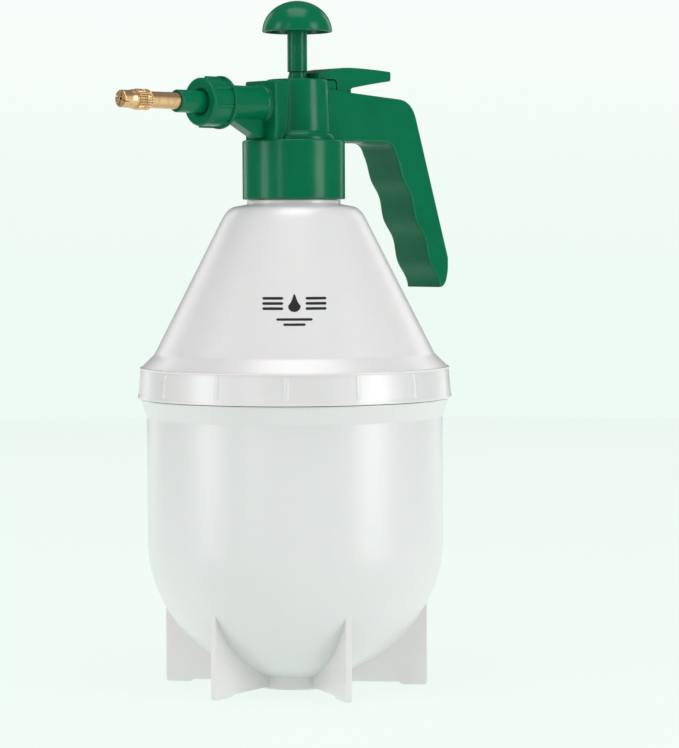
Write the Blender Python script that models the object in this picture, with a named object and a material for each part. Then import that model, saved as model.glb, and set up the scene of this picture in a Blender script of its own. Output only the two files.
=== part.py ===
"""Compression pump sprayer, 1.5 litre: a two-piece tank, a screw-on head with its pump, a trigger valve and a
brass spray tube. Metres, +Z up. The origin is on the tank's axis, on the underside of the hub that it stands on.
The nozzle points along -X and the handle along +X. Run with: blender --background --python part.py
"""

import math

import bmesh
import bpy
from mathutils import Matrix, Vector

# ---- Driving dimensions -------------------------------------------------------------------------------------
GAP = 0.0003  # clearance between pieces that touch
WALL = 0.0018  # moulded wall of the tank
CUT_SCALE = 1000.0  # Booleans are worked out at this scale

# Tank bowl
TANK_R = 0.0636  # outside of the straight wall
DOME_TOP_Z = 0.0624  # where the domed bottom meets the straight wall
DOME_DEPTH = 0.0602
STRAIGHT_TOP_Z = 0.1159
FLANGE_R = 0.0660
FLANGE_Z = 0.1229
BOWL_NECK_R = 0.0612
BOWL_NECK_TOP_Z = 0.1340
BOWL_NECK_FOOT_Z = FLANGE_Z + 0.0007
HUB_R = 0.0212
FIN_COUNT = 6
FIN_FIRST_DEG = 10.2
FIN_R = 0.0568
FIN_TOP_Z = 0.0347
FIN_HALF = 0.0012
FIN_PAD_R = 0.0460  # inner end of the pad that touches the floor
FIN_WEB_Z = 0.0010

# Tank cone, with the skirt that screws on the bowl and the neck that takes the head
SKIRT_FOOT_Z = BOWL_NECK_FOOT_Z + GAP
SKIRT_LIP_R = 0.0675
SKIRT_FOOT_R = 0.0673
SKIRT_TOP_R = 0.0661
SKIRT_TOP_Z = 0.1370
SKIRT_BORE_R = 0.0630
SKIRT_SEAT_Z = 0.1360
CONE_FOOT_R = 0.0602
CONE_FOOT_Z = 0.1425
CONE_TOP_R = 0.0297
CONE_TOP_Z = 0.2027
NECK_COLLAR_R = 0.0200
NECK_COLLAR_Z = 0.2084
NECK_R = 0.0182
NECK_BORE_R = 0.0160
NECK_TOP_Z = 0.2287

# Head
PUMP_X = 0.0024  # the pump's axis, a little behind the tank's axis
CAP_R = 0.0220
CAP_BORE_R = 0.0197
CAP_FOOT_Z = 0.2087
DECK_UNDER_Z = 0.2310
DECK_TOP_Z = 0.2339
STEP_R = 0.0166
STEP_TOP_Z = 0.2370
TOWER_FOOT_R = 0.0144
TOWER_TOP_R = 0.0133
TOWER_TOP_Z = 0.2599
TOWER_BORE_R = 0.0119
BOSS_FOOT_R = 0.0042
BOSS_TOP_R = 0.0035
BOSS_TOP_Z = 0.2632
ROD_HOLE_R = 0.0029

# Front plate and spray outlet; S is the distance in front of the pump's axis
PLATE_FACE_S = 0.0217
PLATE_THICK = 0.0027
PLATE_HALF = 0.0095
PLATE_TOP_Z = 0.2587
WEB_HALF = 0.0069
NOZZLE_Z = 0.2488
TUBE_R = 0.0075
TUBE_THREAD_R = 0.0067
TUBE_SHOULDER_S = 0.0436
TUBE_END_S = 0.0497
OUTLET_BORE_R = 0.0018
GUSSET_HALF = 0.0034

# Handle; B is the distance behind the pump's axis
HANDLE_HALF = 0.01045
HANDLE_UNDER_Z = 0.2334
GRIP_TOP = (0.0488, 0.2295)  # (B, Z) where the finger side starts
GRIP_END = (0.0764, 0.1706)
GRIP_WAVE = 0.00085
GRIP_PITCH = 0.0205
GRIP_FIRST_RIDGE = 0.0115
POCKET_HALF = 0.0082
POCKET_COUNT = 5
POCKET_RIB = 0.0018
POCKET_LOW_Z = 0.1765
POCKET_HIGH_Z = 0.2390
POCKET_SKIN = 0.0034
CHANNEL_HALF = 0.0088  # slot in the top that takes the trigger
CHANNEL_FLOOR_Z = 0.2522
LUG_SLOT_HALF = 0.0062
LUG_SLOT_FLOOR_Z = 0.2466

# Trigger and its valve
PIVOT_B = 0.0185
PIVOT_Z = 0.2495
LEVER_HALF = 0.0085
LUG_HALF = LUG_SLOT_HALF - GAP
LUG_R = 0.0026
PIN_R = 0.00125
PIN_HALF = 0.0087
VALVE_B = 0.0249
VALVE_HOUSING_R = 0.0050

# Pump
CYLINDER_R = 0.0115
CYLINDER_BORE_R = 0.0104
CYLINDER_TOP_Z = 0.2578
CYLINDER_FLOOR_Z = 0.1400
ROD_R = 0.0026
PISTON_Z = 0.1460
PISTON_HEIGHT = 0.0100
KNOB_R = 0.0150
KNOB_RIM_Z = 0.2802
KNOB_TOP_Z = 0.2935
SLEEVE_R = 0.00425

# Suction tube, in the room that the pump leaves in front of it
DIP_X = -0.0126
DIP_R = 0.0023
DIP_BORE_R = 0.0016
DIP_TOP_Z = 0.2329
DIP_FOOT_Z = 0.0120

# Colours, linear
GREEN = (0.002, 0.150, 0.063)
MILKY = (0.74, 0.75, 0.74)
BRASS = (0.62, 0.41, 0.17)
STEEL = (0.55, 0.56, 0.58)
BLACK_RUBBER = (0.02, 0.02, 0.02)
NATURAL = (0.62, 0.63, 0.60)


# ---- Modelling helpers --------------------------------------------------------------------------------------
def clear_scene():
    """Remove every object, so that the file holds this model only."""
    for obj in list(bpy.data.objects):
        bpy.data.objects.remove(obj, do_unlink=True)


def finish(obj, colour, roughness, metallic=0.0):
    """Give an object a material of its own."""
    mat = bpy.data.materials.new(obj.name)
    mat.use_nodes = True
    shader = mat.node_tree.nodes["Principled BSDF"]
    shader.inputs["Base Color"].default_value = (*colour, 1.0)
    shader.inputs["Roughness"].default_value = roughness
    shader.inputs["Metallic"].default_value = metallic
    obj.data.materials.clear()
    obj.data.materials.append(mat)
    return obj


def mesh_object(name, bm):
    """Turn a closed bmesh into a linked object with its faces pointing out."""
    bmesh.ops.recalc_face_normals(bm, faces=bm.faces)
    mesh = bpy.data.meshes.new(name)
    bm.to_mesh(mesh)
    bm.free()
    mesh.shade_smooth()
    mesh.set_sharp_from_angle(angle=math.radians(32))
    obj = bpy.data.objects.new(name, mesh)
    bpy.context.scene.collection.objects.link(obj)
    return obj


def turned(name, profile, place, segments=24):
    """Spin a closed profile of (radius, height) points. place(radius, angle, height) gives each point."""
    bm = bmesh.new()
    rings = []
    for radius, height in profile:
        if radius < 1e-7:
            rings.append([bm.verts.new(place(0.0, 0.0, height))] * segments)
            continue
        angles = [math.tau * i / segments for i in range(segments)]
        rings.append([bm.verts.new(place(radius, a, height)) for a in angles])
    for low, high in zip(rings, rings[1:] + rings[:1]):
        for i in range(segments):
            j = (i + 1) % segments
            corners = list(dict.fromkeys((low[i], low[j], high[j], high[i])))
            if len(corners) > 2:
                bm.faces.new(corners)
    return mesh_object(name, bm)


def upright(x):
    """Place points around a vertical axis at x."""
    return lambda r, a, h: (x + r * math.cos(a), r * math.sin(a), h)


def along_nozzle(r, a, s):
    """Place points around the spray outlet's axis, at distance s in front of the pump."""
    return (PUMP_X - s, r * math.cos(a), NOZZLE_Z + r * math.sin(a))


def prism(name, outline, half, centre_y=0.0):
    """Extrude a closed outline of (x, z) points sideways by half each way."""
    bm = bmesh.new()
    near = [bm.verts.new((x, centre_y - half, z)) for x, z in outline]
    far = [bm.verts.new((x, centre_y + half, z)) for x, z in outline]
    bm.faces.new(near)
    bm.faces.new(list(reversed(far)))
    for i in range(len(outline)):
        j = (i + 1) % len(outline)
        bm.faces.new((near[i], far[i], far[j], near[j]))
    return mesh_object(name, bm)


def cross_rod(name, x, z, radius, half, segments=20):
    """A round bar along Y."""
    ends = [(0.0, -half), (radius, -half), (radius, half), (0.0, half)]
    return turned(name, ends, lambda r, a, h: (x + r * math.cos(a), h, z + r * math.sin(a)), segments)


def behind(points):
    """(B, Z) points behind the pump's axis as (x, z)."""
    return [(PUMP_X + b, z) for b, z in points]


def ahead(points):
    """(S, Z) points in front of the pump's axis as (x, z)."""
    return [(PUMP_X - s, z) for s, z in points]


def combine(target, tools, operation):
    """Apply one Boolean with all the tools together, at a large scale where small features cut cleanly."""
    enlarge = Matrix.Scale(CUT_SCALE, 4)
    group = bpy.data.collections.new("cutters")
    bpy.context.scene.collection.children.link(group)
    for tool in tools:
        tool.data.transform(enlarge)
        group.objects.link(tool)
    target.data.transform(enlarge)
    modifier = target.modifiers.new("combine", "BOOLEAN")
    modifier.operation = operation
    modifier.solver = "EXACT"
    modifier.use_self = operation == "UNION"
    modifier.operand_type = "COLLECTION"
    modifier.collection = group
    graph = bpy.context.evaluated_depsgraph_get()
    mesh = bpy.data.meshes.new_from_object(target.evaluated_get(graph))
    target.modifiers.clear()
    target.data = mesh
    for tool in tools:
        bpy.data.objects.remove(tool, do_unlink=True)
    bpy.data.collections.remove(group)
    mesh.transform(enlarge.inverted())
    mesh.shade_smooth()
    mesh.set_sharp_from_angle(angle=math.radians(32))
    return target


def pivot(name, location, parent=None):
    """An empty on a joint's axis, at a world location."""
    empty = bpy.data.objects.new(name, None)
    bpy.context.scene.collection.objects.link(empty)
    empty.empty_display_size = 0.01
    here = Vector(location)
    empty["world"] = list(here)
    if parent:
        empty.parent = parent
        here = here - Vector(parent["world"])
    empty.location = here
    return empty


def hang(objects, empty):
    """Put pieces under an empty, with their origins on it and their shapes where they were."""
    for obj in objects:
        obj.data.transform(Matrix.Translation(-Vector(empty["world"])))
        obj.parent = empty


# ---- Tank ---------------------------------------------------------------------------------------------------
def dome(radius, depth, from_r, steps):
    """Points up the domed bottom, from from_r out to the straight wall."""
    first = math.asin(from_r / radius)
    angles = [first + (math.pi / 2 - first) * i / steps for i in range(steps + 1)]
    return [(radius * math.sin(t), DOME_TOP_Z - depth * math.cos(t)) for t in angles]


def make_fin(index):
    """One standing fin: a plate from the hub to the tank's side, with a pad at its outer end."""
    middle = dome(TANK_R - WALL / 2, DOME_DEPTH - WALL / 2, HUB_R - WALL / 2, 11)
    inner = [p for p in middle if p[0] < FIN_R - 0.002]
    outline = list(reversed(inner))
    outline += [
        (HUB_R - WALL / 2, FIN_WEB_Z),
        (FIN_PAD_R - 0.0010, FIN_WEB_Z),
        (FIN_PAD_R, 0.0),
        (FIN_R - 0.0006, 0.0),
        (FIN_R, 0.0006),
        (FIN_R, FIN_TOP_Z + 0.0012),
    ]
    fin = prism(f"fin_{index}", outline, FIN_HALF)
    turn = math.radians(FIN_FIRST_DEG + 360.0 * index / FIN_COUNT)
    fin.data.transform(Matrix.Rotation(turn, 4, "Z"))
    return fin


def make_bowl():
    profile = [(0.0, 0.0), (HUB_R - 0.0006, 0.0), (HUB_R, 0.0006)]
    profile += dome(TANK_R, DOME_DEPTH, HUB_R, 8)
    profile += [
        (TANK_R, STRAIGHT_TOP_Z),
        (FLANGE_R, FLANGE_Z),
        (FLANGE_R, BOWL_NECK_FOOT_Z),
        (BOWL_NECK_R, BOWL_NECK_FOOT_Z),
        (BOWL_NECK_R, BOWL_NECK_TOP_Z),
        (BOWL_NECK_R - WALL, BOWL_NECK_TOP_Z),
        (BOWL_NECK_R - WALL, STRAIGHT_TOP_Z + 0.0050),
        (TANK_R - WALL, STRAIGHT_TOP_Z + 0.0020),
    ]
    profile += list(reversed(dome(TANK_R - WALL, DOME_DEPTH - WALL, HUB_R - WALL, 7)))
    profile += [(HUB_R - WALL, WALL), (0.0, WALL)]
    bowl = turned("tank_bowl", profile, upright(0.0), 36)
    fins = [make_fin(i) for i in range(FIN_COUNT)]
    return finish(combine(bowl, fins, "UNION"), MILKY, 0.38)


def make_tank_seal():
    low = BOWL_NECK_TOP_Z + GAP
    high = SKIRT_SEAT_Z - GAP
    inner = BOWL_NECK_R - WALL
    outer = SKIRT_BORE_R - GAP
    ring = [(outer, low), (outer, high), (inner, high), (inner, low)]
    return finish(turned("tank_seal", ring, upright(0.0), 36), BLACK_RUBBER, 0.6)


def make_cone():
    slant = WALL * 1.12  # the wall's thickness measured level, across the slope
    profile = [
        (SKIRT_BORE_R, SKIRT_FOOT_Z),
        (SKIRT_LIP_R - 0.0004, SKIRT_FOOT_Z),
        (SKIRT_LIP_R, SKIRT_FOOT_Z + 0.0005),
        (SKIRT_FOOT_R, SKIRT_FOOT_Z + 0.0011),
        (SKIRT_TOP_R, SKIRT_TOP_Z),
        (CONE_FOOT_R, CONE_FOOT_Z),
        (CONE_TOP_R, CONE_TOP_Z),
        (CONE_TOP_R - 0.0025, CONE_TOP_Z + 0.0026),
        (NECK_COLLAR_R, NECK_COLLAR_Z - 0.0020),
        (NECK_COLLAR_R, NECK_COLLAR_Z),
        (NECK_R, NECK_COLLAR_Z),
        (NECK_R, NECK_TOP_Z),
        (NECK_BORE_R, NECK_TOP_Z),
        (NECK_BORE_R, NECK_COLLAR_Z - 0.0038),
        (CONE_TOP_R - 0.0040, CONE_TOP_Z + 0.0008),
        (CONE_TOP_R - slant, CONE_TOP_Z - 0.0008),
        (CONE_FOOT_R - slant, CONE_FOOT_Z - 0.0008),
        (CONE_FOOT_R - slant, SKIRT_SEAT_Z),
        (SKIRT_BORE_R, SKIRT_SEAT_Z),
    ]
    return finish(turned("tank_cone", profile, upright(0.0), 36), MILKY, 0.38)


# ---- Head ---------------------------------------------------------------------------------------------------
def grip_line(steps):
    """The finger side of the handle: a slope with three shallow finger grooves."""
    start = Vector(GRIP_TOP)
    run = Vector(GRIP_END) - start
    side = Vector((-run.y, run.x)).normalized()
    points = []
    for i in range(steps + 1):
        along = run.length * i / steps
        wave = -GRIP_WAVE * math.cos(math.tau * (along - GRIP_FIRST_RIDGE) / GRIP_PITCH)
        fade = min(1.0, 4.0 * i / steps)
        points.append(tuple(start + run * (i / steps) + side * wave * fade))
    return points


def curve_through(start, corner, end, steps):
    """A quadratic curve that rounds a corner."""
    a, b, c = Vector(start), Vector(corner), Vector(end)
    out = []
    for i in range(steps + 1):
        t = i / steps
        out.append(tuple(a * (1 - t) ** 2 + b * 2 * t * (1 - t) + c * t * t))
    return out


def handle_outline():
    outline = [(0.0080, HANDLE_UNDER_Z), (0.0415, HANDLE_UNDER_Z + 0.0004)]
    outline += curve_through((0.0425, 0.2338), (0.0472, 0.2335), GRIP_TOP, 3)
    outline += grip_line(18)[1:]
    outline += curve_through((0.0770, 0.1699), (0.0818, 0.1690), (0.0827, 0.1784), 4)
    outline += [(0.0827, 0.1831)]
    outline += curve_through((0.0626, 0.2442), (0.0599, 0.2523), (0.0524, 0.2528), 5)
    outline += [(0.0219, 0.2548), (0.0140, 0.2557), (0.0080, 0.2560)]
    return behind(outline)


def handle_pockets():
    """Hollows in the back of the handle, with cross ribs left between them."""
    top, end = Vector(GRIP_TOP), Vector(GRIP_END)
    slope = (end.x - top.x) / (end.y - top.y)
    pitch = (POCKET_HIGH_Z - POCKET_LOW_Z + POCKET_RIB) / POCKET_COUNT
    tools = []
    for i in range(POCKET_COUNT):
        low = POCKET_LOW_Z + i * pitch
        high = low + pitch - POCKET_RIB
        wall = [top.x + (z - top.y) * slope + POCKET_SKIN for z in (low, high)]
        outline = behind([(wall[0], low), (0.0900, low), (0.0900, high), (wall[1], high)])
        tools.append(prism(f"pocket_{i}", outline, POCKET_HALF))
    return tools


def make_head():
    cap = [
        (0.0, CAP_FOOT_Z),
        (CAP_R - 0.0004, CAP_FOOT_Z),
        (CAP_R, CAP_FOOT_Z + 0.0005),
        (CAP_R, DECK_TOP_Z - 0.0010),
        (CAP_R - 0.0003, DECK_TOP_Z - 0.0003),
        (CAP_R - 0.0010, DECK_TOP_Z),
        (0.0, DECK_TOP_Z),
    ]
    tower = [
        (0.0, DECK_TOP_Z - 0.0010),
        (STEP_R, DECK_TOP_Z - 0.0010),
        (STEP_R, STEP_TOP_Z - 0.0008),
        (STEP_R - 0.0008, STEP_TOP_Z),
        (TOWER_FOOT_R, STEP_TOP_Z),
        (TOWER_TOP_R, TOWER_TOP_Z - 0.0010),
        (TOWER_TOP_R - 0.0010, TOWER_TOP_Z),
        (BOSS_FOOT_R, TOWER_TOP_Z),
        (BOSS_TOP_R, BOSS_TOP_Z),
        (0.0, BOSS_TOP_Z),
    ]
    tube = [
        (0.0, PLATE_FACE_S - 0.0010),
        (TUBE_R + 0.0008, PLATE_FACE_S - 0.0010),
        (TUBE_R + 0.0008, PLATE_FACE_S + 0.0002),
        (TUBE_R, PLATE_FACE_S + 0.0012),
        (TUBE_R, TUBE_SHOULDER_S),
        (TUBE_THREAD_R, TUBE_SHOULDER_S),
        (TUBE_THREAD_R, TUBE_END_S),
        (0.0, TUBE_END_S),
    ]
    back_s = PLATE_FACE_S - PLATE_THICK
    plate = ahead([(PLATE_FACE_S, 0.2334), (PLATE_FACE_S, PLATE_TOP_Z), (back_s, PLATE_TOP_Z), (back_s, 0.2334)])
    web = ahead([(PLATE_FACE_S - 0.001, 0.2332), (PLATE_FACE_S - 0.001, PLATE_TOP_Z - 0.0004)])
    web += ahead([(0.0080, 0.2594), (0.0080, 0.2332)])
    gusset = ahead([(0.0205, 0.2345), (0.0256, 0.2345), (0.0412, 0.2424), (0.0412, NOZZLE_Z), (0.0205, NOZZLE_Z)])

    head = turned("head_body", cap, upright(0.0), 36)
    solids = [
        turned("tower", tower, upright(PUMP_X), 32),
        prism("handle", handle_outline(), HANDLE_HALF),
        prism("plate", plate, PLATE_HALF),
        prism("web", web, WEB_HALF),
        turned("tube", tube, along_nozzle, 28),
        prism("gusset", gusset, GUSSET_HALF),
    ]
    combine(head, solids, "UNION")

    cavity = [(0.0, 0.2000), (CAP_BORE_R, 0.2000), (CAP_BORE_R, DECK_UNDER_Z), (0.0, DECK_UNDER_Z)]
    bore = [
        (0.0, DECK_UNDER_Z - 0.0010),
        (TOWER_BORE_R, DECK_UNDER_Z - 0.0010),
        (TOWER_BORE_R, CYLINDER_TOP_Z + 0.0004),
        (ROD_HOLE_R, CYLINDER_TOP_Z + 0.0004),
        (ROD_HOLE_R, BOSS_TOP_Z + 0.0010),
        (0.0, BOSS_TOP_Z + 0.0010),
    ]
    socket = [(0.0, 0.2300), (DIP_R + GAP, 0.2300), (DIP_R + GAP, DIP_TOP_Z + GAP), (0.0, DIP_TOP_Z + GAP)]
    outlet = [(0.0, 0.0190), (OUTLET_BORE_R, 0.0190), (OUTLET_BORE_R, 0.0510), (0.0, 0.0510)]
    channel = [(0.0152, CHANNEL_FLOOR_Z), (0.0300, CHANNEL_FLOOR_Z), (0.0300, 0.2498), (0.0505, 0.2498)]
    channel += [(0.0505, 0.2640), (0.0152, 0.2640)]
    slot = [(0.0154, LUG_SLOT_FLOOR_Z), (0.0298, LUG_SLOT_FLOOR_Z), (0.0298, 0.2540), (0.0154, 0.2540)]
    well = [
        (0.0, 0.2346),
        (0.0034, 0.2346),
        (0.0034, 0.2387),
        (VALVE_HOUSING_R + GAP, 0.2387),
        (VALVE_HOUSING_R + GAP, 0.2490),
        (0.0, 0.2490),
    ]
    cuts = [
        turned("cap_cavity", cavity, upright(0.0), 36),
        turned("tower_bore", bore, upright(PUMP_X), 32),
        turned("dip_socket", socket, upright(DIP_X), 16),
        turned("outlet_bore", outlet, along_nozzle, 16),
        prism("trigger_channel", behind(channel), CHANNEL_HALF),
        prism("lug_slot", behind(slot), LUG_SLOT_HALF),
        turned("valve_well", well, upright(PUMP_X + VALVE_B), 24),
        cross_rod("pin_hole", PUMP_X + PIVOT_B, PIVOT_Z, PIN_R + GAP, PIN_HALF + GAP, 16),
    ]
    combine(head, cuts + handle_pockets(), "DIFFERENCE")
    return finish(head, GREEN, 0.22)


def make_head_seal():
    low, high = NECK_TOP_Z + GAP, DECK_UNDER_Z - GAP
    inner, outer = NECK_BORE_R + 0.0004, CAP_BORE_R - GAP
    ring = [(outer, low), (outer, high), (inner, high), (inner, low)]
    return finish(turned("head_seal", ring, upright(0.0), 28), BLACK_RUBBER, 0.6)


# ---- Pump ---------------------------------------------------------------------------------------------------
def make_pump():
    at = upright(PUMP_X)
    flange_r, spout_r, port_r = 0.0124, 0.0050, 0.0018
    cylinder = [
        (CYLINDER_R, CYLINDER_TOP_Z),
        (CYLINDER_R, DECK_UNDER_Z - GAP),
        (flange_r, DECK_UNDER_Z - GAP),
        (flange_r, DECK_UNDER_Z - 0.0018),
        (CYLINDER_R, DECK_UNDER_Z - 0.0018),
        (CYLINDER_R, CYLINDER_FLOOR_Z + 0.0008),
        (CYLINDER_R - 0.0008, CYLINDER_FLOOR_Z),
        (spout_r, CYLINDER_FLOOR_Z),
        (spout_r, CYLINDER_FLOOR_Z - 0.0035),
        (port_r, CYLINDER_FLOOR_Z - 0.0035),
        (port_r, CYLINDER_FLOOR_Z + WALL),
        (CYLINDER_BORE_R, CYLINDER_FLOOR_Z + WALL),
        (CYLINDER_BORE_R, CYLINDER_TOP_Z),
    ]
    guard_foot = CYLINDER_FLOOR_Z - 0.0075
    guard = [
        (spout_r + GAP, CYLINDER_FLOOR_Z - 0.0004),
        (0.0066, CYLINDER_FLOOR_Z - 0.0004),
        (0.0066, guard_foot + 0.0006),
        (0.0060, guard_foot),
        (0.0022, guard_foot),
        (0.0022, guard_foot + 0.0012),
        (spout_r + GAP, guard_foot + 0.0012),
    ]
    disc_low = guard_foot + 0.0015
    disc = [(0.0, disc_low), (0.0042, disc_low), (0.0042, disc_low + 0.0012), (0.0, disc_low + 0.0012)]
    top, foot = PISTON_Z + PISTON_HEIGHT, PISTON_Z
    piston = [
        (0.0029, foot),
        (0.0099, foot),
        (0.0099, foot + 0.0028),
        (0.0078, foot + 0.0028),
        (0.0078, foot + 0.0066),
        (0.0099, foot + 0.0066),
        (0.0099, top),
        (0.0029, top),
    ]
    cup = [
        (0.0081, foot + 0.0031),
        (0.0094, foot + 0.0031),
        (0.0101, foot + 0.0063),
        (0.0093, foot + 0.0063),
        (0.0090, foot + 0.0044),
        (0.0081, foot + 0.0044),
    ]
    rod_foot, rod_top = PISTON_Z - 0.0015, KNOB_TOP_Z - 0.0055
    rod = [
        (0.0, rod_foot),
        (0.0050, rod_foot),
        (0.0050, rod_foot + 0.0012),
        (ROD_R, rod_foot + 0.0012),
        (ROD_R, rod_top - 0.0006),
        (ROD_R - 0.0006, rod_top),
        (0.0, rod_top),
    ]
    return [
        finish(turned("pump_cylinder", cylinder, at, 28), NATURAL, 0.4),
        finish(turned("valve_guard", guard, at, 20), GREEN, 0.35),
        finish(turned("check_valve", disc, at, 20), BLACK_RUBBER, 0.6),
        finish(turned("piston", piston, at, 24), NATURAL, 0.4),
        finish(turned("piston_seal", cup, at, 24), BLACK_RUBBER, 0.5),
        finish(turned("plunger_rod", rod, at, 16), STEEL, 0.25, 1.0),
    ]


def make_knob():
    """A hollow mushroom knob with the sleeve that covers the rod."""
    height = KNOB_TOP_Z - KNOB_RIM_Z
    inner_r, inner_h = KNOB_R - 0.0016, height - 0.0018
    first = math.asin(SLEEVE_R / inner_r)
    foot = BOSS_TOP_Z + GAP
    hole_top = KNOB_TOP_Z - 0.0052
    profile = [(ROD_R + GAP, foot), (SLEEVE_R - 0.0003, foot), (SLEEVE_R, foot + 0.0003)]
    for i in range(5):
        t = first + (math.pi / 2 - first) * i / 4
        profile.append((inner_r * math.sin(t), KNOB_RIM_Z + inner_h * math.cos(t)))
    for i in range(9):
        t = math.pi / 2 * (1 - i / 8)
        profile.append((KNOB_R * math.sin(t), KNOB_RIM_Z + height * math.cos(t)))
    profile[-1] = (0.0, KNOB_TOP_Z)
    profile += [(0.0, hole_top), (ROD_R + GAP, hole_top)]
    return finish(turned("pump_knob", profile, upright(PUMP_X), 32), GREEN, 0.22)


# ---- Trigger and valve --------------------------------------------------------------------------------------
def make_trigger():
    top = [(0.0010, 0.2624), (0.0052, 0.2630), (0.0086, 0.2635), (0.0146, 0.2649), (0.0213, 0.2656)]
    top += [(0.0300, 0.2656), (0.0400, 0.2652), (0.0482, 0.2647)]
    under = [(0.0482, 0.2606), (0.0422, 0.2598), (0.0327, 0.2583), (0.0247, 0.2569), (0.0232, 0.2557)]
    under += [(0.0232, 0.2536), (0.0156, 0.2536), (0.0156, 0.2590), (0.0145, 0.2602), (0.0010, 0.2602)]
    lever = prism("trigger_lever", behind(top + under), LEVER_HALF)
    nose = 0.0264
    lug = [(0.0158, 0.2560), (0.0158, PIVOT_Z), (0.0166, PIVOT_Z - 0.0019), (PIVOT_B, PIVOT_Z - LUG_R)]
    lug += [(0.0204, PIVOT_Z - 0.0019), (0.0212, PIVOT_Z), (nose, PIVOT_Z), (nose, 0.2580), (0.0158, 0.2580)]
    combine(lever, [prism("lug", behind(lug), LUG_HALF)], "UNION")
    notch = [(0.0, 0.2590), (BOSS_FOOT_R + 0.0010, 0.2590), (BOSS_FOOT_R + 0.0010, 0.2660), (0.0, 0.2660)]
    cuts = [
        turned("boss_notch", notch, upright(PUMP_X), 24),
        cross_rod("lug_hole", PUMP_X + PIVOT_B, PIVOT_Z, PIN_R + GAP, 0.0100, 16),
    ]
    combine(lever, cuts, "DIFFERENCE")
    pin = cross_rod("trigger_pin", PUMP_X + PIVOT_B, PIVOT_Z, PIN_R, PIN_HALF, 16)
    return [finish(lever, GREEN, 0.22), finish(pin, STEEL, 0.25, 1.0)]


def coil_spring(name, x, low, high, coil_r, wire_r, turns):
    """A closed helical wire with flat capped ends."""
    bm = bmesh.new()
    steps, sides = int(turns * 12), 6
    rings = []
    for i in range(steps + 1):
        a = math.tau * turns * i / steps
        z = low + wire_r + (high - low - 2 * wire_r) * i / steps
        out = Vector((math.cos(a), math.sin(a), 0.0))
        centre = Vector((x, 0.0, z)) + out * coil_r
        ring = []
        for k in range(sides):
            b = math.tau * k / sides
            ring.append(bm.verts.new(centre + out * wire_r * math.cos(b) + Vector((0, 0, wire_r * math.sin(b)))))
        rings.append(ring)
    for low_ring, high_ring in zip(rings, rings[1:]):
        for k in range(sides):
            m = (k + 1) % sides
            bm.faces.new((low_ring[k], low_ring[m], high_ring[m], high_ring[k]))
    bm.faces.new(rings[0])
    bm.faces.new(rings[-1])
    return mesh_object(name, bm)


def make_valve():
    x = PUMP_X + VALVE_B
    at = upright(x)
    foot, top = 0.2390, LUG_SLOT_FLOOR_Z
    housing = [
        (0.0015, foot),
        (VALVE_HOUSING_R, foot),
        (VALVE_HOUSING_R, top),
        (0.0034, top),
        (0.0034, foot + 0.0012),
        (0.0015, foot + 0.0012),
    ]
    shaft = 0.0012
    collar_low = 0.2452
    pin = [
        (0.0, 0.2360),
        (0.0026, 0.2360),
        (0.0026, 0.2370),
        (shaft, 0.2370),
        (shaft, collar_low),
        (0.0029, collar_low),
        (0.0029, collar_low + 0.0010),
        (shaft, collar_low + 0.0010),
        (shaft, PIVOT_Z - 0.0012),
        (shaft * 0.7, PIVOT_Z - 0.0006),
        (0.0, PIVOT_Z - GAP),
    ]
    seal = [(0.0028, 0.2373), (0.0028, 0.2387), (0.0015, 0.2387), (0.0015, 0.2373)]
    spring = coil_spring("valve_spring", x, foot + 0.0015, collar_low - GAP, 0.0024, 0.00035, 4)
    return [
        finish(turned("valve_housing", housing, at, 24), NATURAL, 0.4),
        finish(turned("valve_pin", pin, at, 16), BRASS, 0.25, 1.0),
        finish(turned("valve_seal", seal, at, 16), BLACK_RUBBER, 0.6),
        finish(spring, STEEL, 0.3, 1.0),
    ]


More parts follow.
